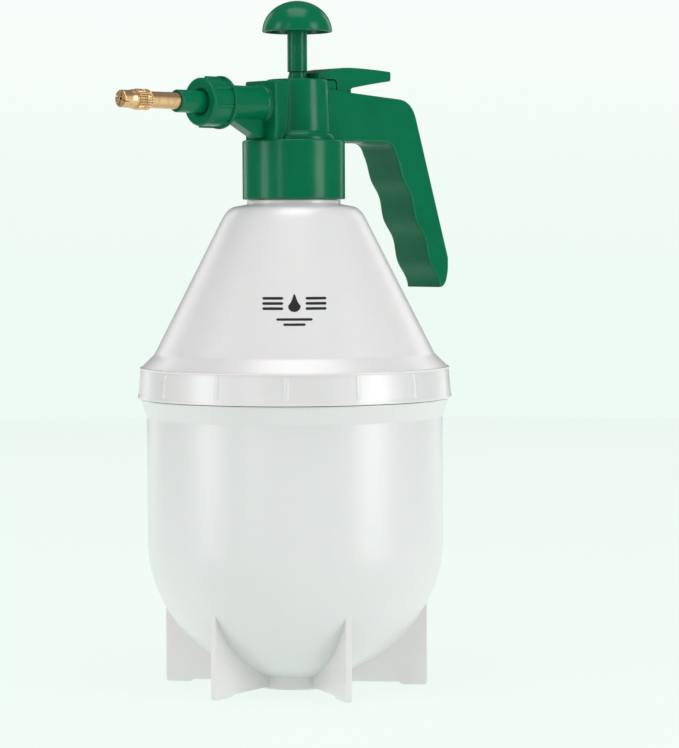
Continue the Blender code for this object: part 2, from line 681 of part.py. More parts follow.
# ---- Spray outlet -------------------------------------------------------------------------------------------
def make_outlet():
    nut = [
        (0.0070, 0.0439),
        (0.0111, 0.0439),
        (0.0111, 0.0452),
        (0.0100, 0.0454),
        (0.0100, 0.0545),
        (0.0097, 0.0553),
        (0.0090, 0.0557),
        (0.0062, 0.0557),
        (0.0051, 0.0547),
        (0.0051, 0.0536),
        (0.0070, 0.0536),
    ]
    washer = [(0.0064, 0.0500), (0.0064, 0.0514), (0.0018, 0.0514), (0.0018, 0.0500)]
    collar = [
        (0.0014, 0.0517),
        (0.0066, 0.0517),
        (0.0066, 0.0533),
        (0.0047, 0.0533),
        (0.0047, 0.0680),
        (0.0044, 0.0684),
        (0.0039, 0.0684),
        (0.0039, 0.0600),
        (0.0014, 0.0600),
    ]
    barrel = [
        (0.0010, 0.0603),
        (0.0036, 0.0603),
        (0.0034, 0.0833),
        (0.0027, 0.0833),
        (0.0027, 0.0920),
        (0.0010, 0.0920),
    ]
    ring = [(0.0030, 0.0836), (0.0039, 0.0836), (0.0043, 0.0841), (0.0043, 0.0861), (0.0040, 0.0864), (0.0030, 0.0864)]
    tip_washer = [(0.0028, 0.0923), (0.0028, 0.0930), (0.0012, 0.0930), (0.0012, 0.0923)]
    tip = [
        (0.0030, 0.0867),
        (0.0040, 0.0867),
        (0.0043, 0.0870),
        (0.0043, 0.0907),
        (0.0039, 0.0912),
        (0.0041, 0.0918),
        (0.0036, 0.0938),
        (0.0036, 0.0975),
        (0.0033, 0.0978),
        (0.0012, 0.0978),
        (0.0005, 0.0968),
        (0.0005, 0.0933),
        (0.0030, 0.0933),
    ]
    return [
        finish(turned("coupling_nut", nut, along_nozzle, 28), GREEN, 0.22),
        finish(turned("stem_washer", washer, along_nozzle, 20), BLACK_RUBBER, 0.6),
        finish(turned("nozzle_collar", collar, along_nozzle, 24), GREEN, 0.22),
        finish(turned("spray_barrel", barrel, along_nozzle, 24), BRASS, 0.2, 1.0),
        finish(turned("lock_ring", ring, along_nozzle, 24), BRASS, 0.25, 1.0),
        finish(turned("tip_washer", tip_washer, along_nozzle, 16), BLACK_RUBBER, 0.6),
        finish(turned("nozzle_tip", tip, along_nozzle, 24), BRASS, 0.2, 1.0),
    ]


# ---- Suction tube -------------------------------------------------------------------------------------------
def make_suction():
    tube = [(DIP_R, DIP_TOP_Z), (DIP_BORE_R, DIP_TOP_Z), (DIP_BORE_R, DIP_FOOT_Z), (DIP_R, DIP_FOOT_Z)]
    low = DIP_FOOT_Z - 0.0040
    strainer = [
        (DIP_R + GAP, DIP_FOOT_Z + 0.0060),
        (0.0031, DIP_FOOT_Z + 0.0060),
        (0.0031, low),
        (0.0012, low),
        (0.0012, DIP_FOOT_Z - GAP),
        (DIP_R + GAP, DIP_FOOT_Z - GAP),
    ]
    return [
        finish(turned("dip_tube", tube, upright(DIP_X), 16), NATURAL, 0.35),
        finish(turned("dip_strainer", strainer, upright(DIP_X), 16), GREEN, 0.35),
    ]


def main():
    clear_scene()
    make_bowl()
    seal, cone = make_tank_seal(), make_cone()
    head, head_seal = make_head(), make_head_seal()
    cylinder, guard, check_valve, piston, piston_seal, rod = make_pump()
    knob = make_knob()
    lever, trigger_pin = make_trigger()
    housing, valve_pin, valve_seal, spring = make_valve()
    nut, stem_washer, collar, barrel, ring, tip_washer, tip = make_outlet()
    tube, strainer = make_suction()

    cone_axis = pivot("cone_axis", (0.0, 0.0, SKIRT_FOOT_Z))
    head_axis = pivot("head_axis", (0.0, 0.0, CAP_FOOT_Z), cone_axis)
    plunger_axis = pivot("plunger_axis", (PUMP_X, 0.0, BOSS_TOP_Z), head_axis)
    check_axis = pivot("check_axis", (PUMP_X, 0.0, CYLINDER_FLOOR_Z), head_axis)
    trigger_axis = pivot("trigger_axis", (PUMP_X + PIVOT_B, 0.0, PIVOT_Z), head_axis)
    valve_axis = pivot("valve_axis", (PUMP_X + VALVE_B, 0.0, PIVOT_Z), head_axis)
    stem_axis = pivot("stem_axis", (PUMP_X - TUBE_END_S, 0.0, NOZZLE_Z), head_axis)
    tip_axis = pivot("tip_axis", (PUMP_X - 0.0867, 0.0, NOZZLE_Z), stem_axis)
    hang([seal, cone], cone_axis)
    fixed = [head, cylinder, guard, trigger_pin, housing, spring, stem_washer, tube, strainer]
    hang([head_seal] + fixed, head_axis)
    hang([piston, piston_seal, rod, knob], plunger_axis)
    hang([check_valve], check_axis)
    hang([lever], trigger_axis)
    hang([valve_pin, valve_seal], valve_axis)
    hang([nut, collar, barrel, ring], stem_axis)
    hang([tip_washer, tip], tip_axis)


main()
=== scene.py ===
"""Looks of the pump sprayer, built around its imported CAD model. Metres, in the model's own frame: +Z up, the spray
outlet along -X, the handle along +X. Each finer piece stands for the CAD piece of the same name.
"""

import math

import bmesh
import bpy
from mathutils import Matrix, Vector


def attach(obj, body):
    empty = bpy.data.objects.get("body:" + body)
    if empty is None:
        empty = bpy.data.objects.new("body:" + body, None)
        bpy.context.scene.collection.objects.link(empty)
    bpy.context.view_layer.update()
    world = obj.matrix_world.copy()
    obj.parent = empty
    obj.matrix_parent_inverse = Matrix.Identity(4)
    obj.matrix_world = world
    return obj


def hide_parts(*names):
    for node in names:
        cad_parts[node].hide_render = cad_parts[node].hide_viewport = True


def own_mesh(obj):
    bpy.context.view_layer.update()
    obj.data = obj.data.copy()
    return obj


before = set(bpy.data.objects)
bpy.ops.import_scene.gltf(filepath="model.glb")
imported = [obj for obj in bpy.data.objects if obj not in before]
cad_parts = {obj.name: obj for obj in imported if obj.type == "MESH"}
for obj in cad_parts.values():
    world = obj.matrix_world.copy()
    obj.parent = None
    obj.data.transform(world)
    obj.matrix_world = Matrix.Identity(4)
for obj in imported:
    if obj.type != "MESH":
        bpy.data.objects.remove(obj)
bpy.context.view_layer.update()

# ---- Dimensions ---------------------------------------------------------------------------------------------
WALL = 0.0018
PUMP_X = 0.0024  # the pump's axis
NOZZLE_Z = 0.2488  # the spray outlet's axis
DIP_X = -0.0126
VALVE_X = PUMP_X + 0.0249
PIVOT_X, PIVOT_Z = PUMP_X + 0.0185, 0.2495
LEVER_PIN_HOLE_R = 0.00155
CAMERA_ROLL_DEG = -0.24
CAMERA_DEG = 227.0  # the camera's direction from the tank's axis
SCALE = 1000.0  # Booleans are worked out at this scale


# ---- Profiles and meshes ------------------------------------------------------------------------------------
def rounded(points, steps=4):
    """A closed outline. A point's third number rounds its corner, starting that far before it."""
    out = []
    count = len(points)
    for i, point in enumerate(points):
        here = Vector(point[:2])
        cut = point[2] if len(point) > 2 else 0.0
        if not cut:
            out.append(tuple(here))
            continue
        before = Vector(points[i - 1][:2]) - here
        after = Vector(points[(i + 1) % count][:2]) - here
        first, last = min(cut, before.length * 0.49), min(cut, after.length * 0.49)
        a, c = here + before.normalized() * first, here + after.normalized() * last
        if before.length > 2.9 * first:
            out.append(tuple(a + before.normalized() * first * 0.4))
        for k in range(steps + 1):
            t = k / steps
            out.append(tuple(a * (1 - t) ** 2 + here * 2 * t * (1 - t) + c * t * t))
        if after.length > 2.9 * last:
            out.append(tuple(c + after.normalized() * last * 0.4))
    return out


def curve_through(start, corner, end, steps):
    a, b, c = Vector(start), Vector(corner), Vector(end)
    ts = [i / steps for i in range(steps + 1)]
    return [tuple(a * (1 - t) ** 2 + b * 2 * t * (1 - t) + c * t * t) for t in ts]


def rows(radius, low, high, count):
    """Points up a straight side, close enough together to carry a thread or knurl."""
    return [(radius, low + (high - low) * i / count) for i in range(count + 1)]


def mesh_object(name, bm, crease=38):
    bmesh.ops.recalc_face_normals(bm, faces=bm.faces)
    mesh = bpy.data.meshes.new(name)
    bm.to_mesh(mesh)
    bm.free()
    mesh.shade_smooth()
    mesh.set_sharp_from_angle(angle=math.radians(crease))
    obj = bpy.data.objects.new(name, mesh)
    bpy.context.scene.collection.objects.link(obj)
    return obj


def upright(x):
    return lambda r, a, h: (x + r * math.cos(a), r * math.sin(a), h)


def along_nozzle(r, a, s):
    return (PUMP_X - s, r * math.cos(a), NOZZLE_Z + r * math.sin(a))


def turned(name, profile, place, segments=64, shape=None, crease=38):
    """Spin a closed profile of (radius, height). shape(radius, angle, height) may change the radius on the way.
    segments is how many steps the turn has, or the list of its angles."""
    angles = [math.tau * i / segments for i in range(segments)] if isinstance(segments, int) else segments
    count = len(angles)
    bm = bmesh.new()
    rings = []
    for radius, height in profile:
        if radius < 1e-7:
            rings.append([bm.verts.new(place(0.0, 0.0, height))] * count)
            continue
        rings.append([bm.verts.new(place(shape(radius, a, height) if shape else radius, a, height)) for a in angles])
    for low, high in zip(rings, rings[1:] + rings[:1]):
        for i in range(count):
            j = (i + 1) % count
            corners = list(dict.fromkeys((low[i], low[j], high[j], high[i])))
            if len(corners) > 2:
                bm.faces.new(corners)
    return mesh_object(name, bm, crease)


def inset(outline, distance):
    """The outline moved inwards."""
    count = len(outline)
    area = sum(outline[i - 1][0] * outline[i][1] - outline[i][0] * outline[i - 1][1] for i in range(count))
    sign = 1.0 if area > 0 else -1.0
    out = []
    for i in range(count):
        before = (Vector(outline[i]) - Vector(outline[i - 1])).normalized()
        after = (Vector(outline[(i + 1) % count]) - Vector(outline[i])).normalized()
        n1, n2 = Vector((-before.y, before.x)) * sign, Vector((-after.y, after.x)) * sign
        move = (n1 + n2) / max(0.4, 1.0 + n1.dot(n2))
        out.append(tuple(Vector(outline[i]) + move * distance))
    return out


def slab(name, outline, low, high, edge, place=None, steps=4):
    """Extrude a closed (x, z) outline along Y from low to high, with its long edges rounded by edge.
    place(u, v, w) may turn it another way."""
    place = place or (lambda u, v, w: (u, w, v))
    levels = []
    if edge:
        for k in range(steps + 1):
            t = math.pi / 2 * k / steps
            levels.append((edge * (1 - math.sin(t)), low + edge * (1 - math.cos(t))))
        levels += [(d, low + high - w) for d, w in reversed(levels)]
    else:
        levels = [(0.0, low), (0.0, high)]
    bm = bmesh.new()
    rings = [[bm.verts.new(place(u, v, w)) for u, v in (inset(outline, d) if d else outline)] for d, w in levels]
    bm.faces.new(rings[0])
    bm.faces.new(list(reversed(rings[-1])))
    for a, b in zip(rings, rings[1:]):
        for i in range(len(outline)):
            j = (i + 1) % len(outline)
            bm.faces.new((a[i], b[i], b[j], a[j]))
    return mesh_object(name, bm)


def cross_rod(name, x, z, radius, half, edge=0.0, segments=48):
    ends = rounded([(0.0, -half), (radius, -half, edge), (radius, half, edge), (0.0, half)])
    return turned(name, ends, lambda r, a, h: (x + r * math.cos(a), h, z + r * math.sin(a)), segments)


def combine(target, tools, operation):
    """One Boolean with all the tools together, at a large scale."""
    enlarge = Matrix.Scale(SCALE, 4)
    group = bpy.data.collections.new("cutters")
    bpy.context.scene.collection.children.link(group)
    for tool in tools:
        tool.data.transform(enlarge)
        group.objects.link(tool)
    target.data.transform(enlarge)
    modifier = target.modifiers.new("combine", "BOOLEAN")
    modifier.operation = operation
    modifier.solver = "EXACT"
    modifier.use_self = operation == "UNION"
    modifier.operand_type = "COLLECTION"
    modifier.collection = group
    graph = bpy.context.evaluated_depsgraph_get()
    mesh = bpy.data.meshes.new_from_object(target.evaluated_get(graph))
    target.modifiers.clear()
    target.data = mesh
    for tool in tools:
        bpy.data.objects.remove(tool, do_unlink=True)
    bpy.data.collections.remove(group)
    mesh.transform(enlarge.inverted())
    mesh.shade_smooth()
    mesh.set_sharp_from_angle(angle=math.radians(34))
    return target


def even_shading(obj):
    """Keep large flat faces flat beside their rounded edges."""
    modifier = obj.modifiers.new("even_shading", "WEIGHTED_NORMAL")
    modifier.keep_sharp = True
    modifier.weight = 100
    return obj


def ahead(points):
    return [(PUMP_X - p[0], *p[1:]) for p in points]


def behind(points):
    return [(PUMP_X + p[0], *p[1:]) for p in points]


# ---- Materials ----------------------------------------------------------------------------------------------
def new_material(name, **sockets):
    mat = bpy.data.materials.new(name)
    mat.use_nodes = True
    shader = mat.node_tree.nodes["Principled BSDF"]
    for socket, value in sockets.items():
        shader.inputs[socket.replace("_", " ")].default_value = value
    return mat, shader


def noise(mat, scale, detail=3.0, stretch=(1, 1, 1)):
    """A noise in the object's own coordinates, stretched along an axis if asked."""
    tree = mat.node_tree
    place = tree.nodes.new("ShaderNodeTexCoord")
    mapping = tree.nodes.new("ShaderNodeMapping")
    mapping.inputs["Scale"].default_value = stretch
    texture = tree.nodes.new("ShaderNodeTexNoise")
    texture.inputs["Scale"].default_value = scale
    texture.inputs["Detail"].default_value = detail
    tree.links.new(place.outputs["Object"], mapping.inputs["Vector"])
    tree.links.new(mapping.outputs["Vector"], texture.inputs["Vector"])
    return texture.outputs["Fac"]


def vary_colour(mat, shader, factor, low, high):
    ramp = mat.node_tree.nodes.new("ShaderNodeValToRGB")
    ramp.color_ramp.elements[0].position = 0.3
    ramp.color_ramp.elements[0].color = (*low, 1.0)
    ramp.color_ramp.elements[1].position = 0.7
    ramp.color_ramp.elements[1].color = (*high, 1.0)
    mat.node_tree.links.new(factor, ramp.inputs["Fac"])
    mat.node_tree.links.new(ramp.outputs["Color"], shader.inputs["Base Color"])


def vary_roughness(mat, shader, factor, low, high):
    span = mat.node_tree.nodes.new("ShaderNodeMapRange")
    span.inputs["From Min"].default_value = 0.3
    span.inputs["From Max"].default_value = 0.7
    span.inputs["To Min"].default_value = low
    span.inputs["To Max"].default_value = high
    mat.node_tree.links.new(factor, span.inputs["Value"])
    mat.node_tree.links.new(span.outputs["Result"], shader.inputs["Roughness"])


def relief(mat, shader, factor, strength, distance):
    bump = mat.node_tree.nodes.new("ShaderNodeBump")
    bump.inputs["Strength"].default_value = strength
    bump.inputs["Distance"].default_value = distance
    mat.node_tree.links.new(factor, bump.inputs["Height"])
    mat.node_tree.links.new(bump.outputs["Normal"], shader.inputs["Normal"])


def milky_plastic():
    """Satin polyethylene, a little uneven in its wall and in its sheen."""
    mat, shader = new_material(
        "milky_plastic", IOR=1.5, Specular_IOR_Level=0.9, Subsurface_Weight=0.12, Subsurface_Scale=0.006,
        Coat_Weight=1.0, Coat_Roughness=0.34,
    )
    vary_colour(mat, shader, noise(mat, 22, 2.0, (1, 1, 0.35)), (0.722, 0.702, 0.709), (0.752, 0.732, 0.739))
    vary_roughness(mat, shader, noise(mat, 60, 3.0), 0.32, 0.38)
    relief(mat, shader, noise(mat, 900, 2.0), 0.10, 0.00006)
    return mat


def green_plastic():
    """Moulded polypropylene with a faint flow pattern and fine grain."""
    mat, shader = new_material("green_plastic", IOR=1.46, Specular_IOR_Level=0.26)
    vary_colour(mat, shader, noise(mat, 70, 3.0), (0.0, 0.132, 0.056), (0.0, 0.150, 0.066))
    vary_roughness(mat, shader, noise(mat, 260, 3.0), 0.19, 0.26)
    relief(mat, shader, noise(mat, 1500, 2.0), 0.12, 0.00003)
    return mat


def brass():
    """Turned brass: fine tool rings across the axis, with slight tarnish."""
    mat, shader = new_material("brass", Metallic=0.86)
    vary_colour(mat, shader, noise(mat, 260, 2.0, (3, 1, 1)), (0.72, 0.46, 0.23), (0.82, 0.56, 0.31))
    vary_roughness(mat, shader, noise(mat, 500, 2.0, (5, 1, 1)), 0.28, 0.36)
    relief(mat, shader, noise(mat, 220, 1.0, (24, 0.01, 0.01)), 0.10, 0.00003)
    return mat


def steel():
    """Drawn steel: fine lines along the rod."""
    mat, shader = new_material("steel", Metallic=1.0)
    vary_colour(mat, shader, noise(mat, 500, 3.0), (0.50, 0.51, 0.53), (0.62, 0.63, 0.65))
    vary_roughness(mat, shader, noise(mat, 900, 3.0, (1, 1, 0.03)), 0.18, 0.32)
    relief(mat, shader, noise(mat, 2600, 1.0, (1, 1, 0.02)), 0.04, 0.00001)
    return mat


def rubber():
    mat, shader = new_material("black_rubber", IOR=1.5)
    vary_colour(mat, shader, noise(mat, 300, 4.0), (0.014, 0.014, 0.015), (0.028, 0.028, 0.027))
    vary_roughness(mat, shader, noise(mat, 700, 3.0), 0.52, 0.7)
    relief(mat, shader, noise(mat, 2500, 2.0), 0.25, 0.00003)
    return mat


def natural_plastic():
    """Uncoloured polypropylene, slightly see-through in its thin walls."""
    mat, shader = new_material("natural_plastic", IOR=1.49, Subsurface_Weight=0.3, Subsurface_Scale=0.004)
    vary_colour(mat, shader, noise(mat, 120, 3.0), (0.60, 0.61, 0.57), (0.68, 0.69, 0.65))
    vary_roughness(mat, shader, noise(mat, 400, 3.0), 0.30, 0.42)
    relief(mat, shader, noise(mat, 1600, 2.0), 0.10, 0.00003)
    return mat


def ink():
    """Screen-printed ink, a little thin in places."""
    mat, shader = new_material("print_ink", IOR=1.45)
    vary_colour(mat, shader, noise(mat, 1800, 4.0), (0.006, 0.006, 0.006), (0.016, 0.016, 0.016))
    vary_roughness(mat, shader, noise(mat, 2400, 2.0), 0.42, 0.58)
    return mat


MATERIALS = {
    "milky_plastic": milky_plastic(),
    "green_plastic": green_plastic(),
    "brass": brass(),
    "steel": steel(),
    "black_rubber": rubber(),
    "natural_plastic": natural_plastic(),
}


def stands_for(obj, node, body, slot):
    """Finish a piece: its material, the body it moves with and the CAD piece it replaces."""
    obj.name = f"{node}_fine"
    obj.data.materials.clear()
    obj.data.materials.append(MATERIALS[slot])
    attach(obj, body)
    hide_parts(node)
    return obj


# ---- Threads, knurls and ribs -------------------------------------------------------------------------------
def thread(root, low, high, pitch, depth, hand=1.0):
    """A helical ridge on the surface whose radius is root."""

    def shape(r, a, h):
        if abs(r - root) > 1e-6 or not low < h < high:
            return r
        phase = (h / pitch - hand * a / math.tau) % 1.0
        tooth = max(0.0, 1.0 - abs(phase - 0.5) / 0.34)
        fade = min(1.0, (h - low) / (0.5 * pitch), (high - h) / (0.5 * pitch))
        return r + depth * min(1.0, 1.6 * tooth) * fade

    return shape


def knurl(crest, low, high, teeth, depth):
    """Straight teeth along the axis on the surface whose radius is crest."""

    def shape(r, a, h):
        if abs(r - crest) > 1e-6 or not low - 1e-7 <= h <= high + 1e-7:
            return r
        wave = abs(((a * teeth / math.tau) % 1.0) * 2 - 1)
        return r - depth * min(1.0, 1.5 * wave)

    return shape


def rib_angles(count, first, width, filler):
    """Angles around a turn, close together at each rib."""
    out = []
    for i in range(count):
        middle = first + math.tau * i / count
        side = [-0.62, -0.5, -0.36, -0.2, 0.0, 0.2, 0.36, 0.5, 0.62]
        out += [middle + s * width for s in side]
        gap = math.tau / count - 1.24 * width
        out += [middle + 0.62 * width + gap * k / (filler + 1) for k in range(1, filler + 1)]
    return out


def rib_height(a, count, first, width):
    """From 0 beside a rib to 1 on its top."""
    step = math.tau / count
    off = abs((a - first + step / 2) % step - step / 2) / width
    return max(0.0, min(1.0, (0.5 - off) / 0.2)) if off < 0.5 else 0.0


# ---- Tank ---------------------------------------------------------------------------------------------------
TANK_R, DOME_Z, DOME_DEPTH = 0.0636, 0.0624, 0.0602
HUB_R, FIN_COUNT, FIN_R, FIN_HALF, FIN_FIRST_DEG = 0.0212, 6, 0.0568, 0.0014, 9.6
FIN_WEB_Z, FIN_PAD_R = 0.0010, 0.0460  # the foot of a fin's thin part, and where its standing pad starts
SKIRT_RIBS, NUT_RIBS, KNURL_TEETH = 14, 8, 26
BOWL_NECK_R, SKIRT_BORE_R = 0.0612, 0.0630


def dome(radius, depth, from_r, steps):
    first = math.asin(from_r / radius)
    angles = [first + (math.pi / 2 - first) * i / steps for i in range(steps + 1)]
    return [(radius * math.sin(t), DOME_Z - depth * math.cos(t)) for t in angles]


def make_fin(index):
    inner = [p for p in dome(TANK_R - WALL / 2, DOME_DEPTH - WALL / 2, HUB_R - WALL / 2, 26) if p[0] < FIN_R - 0.002]
    outline = list(reversed(inner))
    outline += [(HUB_R - WALL / 2, FIN_WEB_Z), (0.0448, FIN_WEB_Z)]
    pad = [(0.0448, FIN_WEB_Z), (FIN_PAD_R, 0.0, 0.0007), (FIN_R, 0.0, 0.0012), (FIN_R, 0.0350)]
    outline += rounded(pad, 3)[1:-1]
    outline += [(FIN_R, 0.0359)]
    fin = slab(f"fin_{index}", outline, -FIN_HALF, FIN_HALF, 0.0004, steps=2)
    turn = math.radians(FIN_FIRST_DEG + 360.0 * index / FIN_COUNT)
    fin.data.transform(Matrix.Rotation(turn, 4, "Z"))
    return fin


def make_bowl():
    profile = rounded([(0.0, 0.0), (HUB_R, 0.0, 0.0006), dome(TANK_R, DOME_DEPTH, HUB_R, 44)[0]])[:-1]
    profile += dome(TANK_R, DOME_DEPTH, HUB_R, 44)
    profile += [(TANK_R, 0.0700), (TANK_R, 0.0850), (TANK_R, 0.1000)]
    profile += rounded(
        [(TANK_R, 0.1000), (TANK_R, 0.1159, 0.0004), (0.0660, 0.1229, 0.0004), (0.0660, 0.1236, 0.0002),
         (BOWL_NECK_R + 0.0004, 0.1236, 0.0003), (BOWL_NECK_R, 0.1240), (BOWL_NECK_R - 0.01, 0.1300)]
    )[1:-1]
    profile += rows(BOWL_NECK_R, 0.1242, 0.1332, 36)
    profile += [(BOWL_NECK_R - 0.0001, 0.1337), (BOWL_NECK_R - 0.0004, 0.1340), (BOWL_NECK_R - WALL + 0.0003, 0.1340)]
    profile += [(BOWL_NECK_R - WALL, 0.1337), (BOWL_NECK_R - WALL, 0.1209), (TANK_R - WALL, 0.1179)]
    profile += list(reversed(dome(TANK_R - WALL, DOME_DEPTH - WALL, HUB_R - WALL, 24)))
    profile += [(HUB_R - WALL, WALL), (0.0, WALL)]
    winding = thread(BOWL_NECK_R, 0.1245, 0.1330, 0.0050, 0.0013)
    bowl = turned("tank_bowl_look", profile, upright(0.0), 144, winding)
    combine(bowl, [make_fin(i) for i in range(FIN_COUNT)], "UNION")
    return stands_for(even_shading(bowl), "tank_bowl", "tank", "milky_plastic")


def make_cone():
    foot, top = 0.1239, 0.1370
    first, width = math.radians(224.0), 0.0020 / 0.0665
    skirt_low, skirt_high = foot + 0.0022, top - 0.0014

    def shape(r, a, h):
        if r > 0.0645 and skirt_low - 1e-7 <= h <= skirt_high + 1e-7:
            fade = min(1.0, (h - skirt_low) / 0.0004 + 0.25, (skirt_high - h) / 0.0004 + 0.25)
            return r + 0.00035 * rib_height(a, SKIRT_RIBS, first, width) * fade
        return winding(r, a, h)

    winding = thread(0.0182, 0.2100, 0.2268, 0.0040, 0.0011)
    outside = [(SKIRT_BORE_R, foot, 0.0003), (0.0675, foot, 0.0004), (0.0675, foot + 0.0009, 0.0003)]
    outside += [(0.06725, foot + 0.0014, 0.0003)]
    levels = [skirt_low, skirt_low + 0.0004, 0.1280, 0.1300, 0.1320, 0.1340, skirt_high - 0.0004, skirt_high]
    outside += [(0.0673 - (h - foot) * 0.0916, h) for h in levels]
    outside += [(0.06615, top - 0.0009), (0.06655, top - 0.0004, 0.0003), (0.0664, top + 0.0001, 0.0003)]
    outside += [(0.0657, top + 0.0002, 0.0002), (0.0602, 0.1425, 0.0006)]
    slope = [(0.0602 - 0.0305 * t, 0.1425 + 0.0602 * t) for t in (0.1, 0.3, 0.5, 0.7, 0.9)]
    outside += slope
    outside += [(0.0297, 0.2027, 0.0024), (0.0268, 0.2054, 0.0016), (0.0200, 0.2066, 0.0004)]
    outside += [(0.0200, 0.2084, 0.0003), (0.0182, 0.2084)]
    inside = [(0.0182 - 0.0001, 0.2284), (0.0178, 0.2287), (0.0163, 0.2287), (0.0160, 0.2284), (0.0160, 0.2046)]
    inside += [(0.0257, 0.2035), (0.0277, 0.2019), (0.0582, 0.1417), (0.0582, 0.1360), (SKIRT_BORE_R, 0.1360)]
    profile = rounded(outside) + rows(0.0182, 0.2086, 0.2280, 76) + inside
    angles = rib_angles(SKIRT_RIBS, first, width, 5)
    cone = turned("tank_cone_look", profile, upright(0.0), angles, shape)
    return stands_for(cone, "tank_cone", "cone", "milky_plastic")


def cone_point(across, height):
    """A point on the cone's outside, by its distance across the front and its height."""
    radius = 0.0602 - (height - 0.1425) * 0.0305 / 0.0602
    return radius, math.radians(CAMERA_DEG) + across / radius


def printed_patch(bm, levels, columns=10):
    """Fill the space between left and right edges, given at each height, on the cone."""
    grids = []
    for lift in (0.00004, -0.0001):
        grid = []
        for height, left, right in levels:
            line = []
            for i in range(columns + 1):
                radius, angle = cone_point(left + (right - left) * i / columns, height)
                line.append(bm.verts.new(upright(0.0)(radius + lift, angle, height)))
            grid.append(line)
        grids.append(grid)
    top, low = grids
    for a in range(len(levels) - 1):
        for b in range(columns):
            bm.faces.new((top[a][b], top[a][b + 1], top[a + 1][b + 1], top[a + 1][b]))
            bm.faces.new((low[a][b], low[a + 1][b], low[a + 1][b + 1], low[a][b + 1]))
    for a in range(len(levels) - 1):
        for b in (0, columns):
            bm.faces.new((top[a][b], top[a + 1][b], low[a + 1][b], low[a][b]))
    for b in range(columns):
        for a in (0, len(levels) - 1):
            bm.faces.new((top[a][b], low[a][b], low[a][b + 1], top[a][b + 1]))


def bar(middle, height, width, thick):
    """A thin level line with rounded ends."""
    levels = []
    for k in range(7):
        t = -1 + 2 * k / 6
        pull = thick / 2 * (1 - math.sqrt(max(0.0, 1 - t * t)))
        levels.append((height + t * thick / 2, middle - width / 2 + pull, middle + width / 2 - pull))
    return levels


def make_print():
    """A plain mark in black ink: a water drop between level lines, with two shorter lines under it."""
    bm = bmesh.new()
    low, tall, half = 0.1618, 0.0074, 0.0026
    levels = []
    for k in range(25):
        t = k / 24
        if t < 0.34:
            width = half * math.sqrt(max(0.0, 1 - ((0.34 - t) / 0.34) ** 2))
        else:
            width = half * (1 - ((t - 0.34) / 0.66)) ** 0.85 * (1 - 0.28 * math.sin(math.pi * (t - 0.34) / 0.66))
        width = max(width, 0.00008)
        levels.append((low + tall * t, -width, width))
    printed_patch(bm, levels, 8)
    for height in (0.1632, 0.1653, 0.1674):
        for side in (-1, 1):
            printed_patch(bm, bar(side * 0.0090, height, 0.0088, 0.0011))
    printed_patch(bm, bar(0.0, 0.1588, 0.0150, 0.0010))
    printed_patch(bm, bar(0.0, 0.1567, 0.0092, 0.0010))
    mark = mesh_object("drop_print", bm)
    mark.data.materials.append(ink())
    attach(mark, "cone")
    return mark


# ---- Head ---------------------------------------------------------------------------------------------------
GRIP_TOP, GRIP_END = (0.0488, 0.2295), (0.0764, 0.1706)
FINGER_PITCH, FINGER_DEPTH = 0.0205, 0.00085
POCKETS, POCKET_FOOT_Z, POCKET_TOP_Z, POCKET_RIB = 5, 0.1765, 0.2390, 0.0018


def grip_line(steps):
    """The front of the grip, with its finger waves."""
    start = Vector(GRIP_TOP)
    run = Vector(GRIP_END) - start
    side = Vector((-run.y, run.x)).normalized()
    points = []
    for i in range(steps + 1):
        along = run.length * i / steps
        wave = -FINGER_DEPTH * math.cos(math.tau * (along - 0.0115) / FINGER_PITCH)
        points.append(tuple(start + run * (i / steps) + side * wave * min(1.0, 4.0 * i / steps)))
    return points


def handle_outline():
    outline = [(0.0080, 0.2334), (0.0415, 0.2338)]
    outline += curve_through((0.0425, 0.2338), (0.0472, 0.2335), GRIP_TOP, 10)
    outline += grip_line(66)[1:]
    outline += curve_through((0.0770, 0.1699), (0.0818, 0.1690), (0.0827, 0.1784), 12)
    outline += [(0.0827, 0.1831)]
    outline += curve_through((0.0626, 0.2442), (0.0599, 0.2523), (0.0524, 0.2528), 14)
    outline += [(0.0219, 0.2548), (0.0140, 0.2557), (0.0080, 0.2560)]
    return behind(outline)


def handle_pockets():
    """The hollows between cross ribs in the back of the grip."""
    pitch = (POCKET_TOP_Z - POCKET_FOOT_Z + POCKET_RIB) / POCKETS
    slope = (GRIP_END[0] - GRIP_TOP[0]) / (GRIP_END[1] - GRIP_TOP[1])
    tools = []
    for i in range(POCKETS):
        low = POCKET_FOOT_Z + i * pitch
        high = low + pitch - POCKET_RIB
        wall = [GRIP_TOP[0] + (z - GRIP_TOP[1]) * slope + 0.0034 for z in (low, high)]
        outline = behind([(wall[0], low, 0.0006), (0.0900, low), (0.0900, high), (wall[1], high, 0.0006)])
        tools.append(slab(f"pocket_{i}", rounded(outline), -0.0082, 0.0082, 0.0))
    return tools


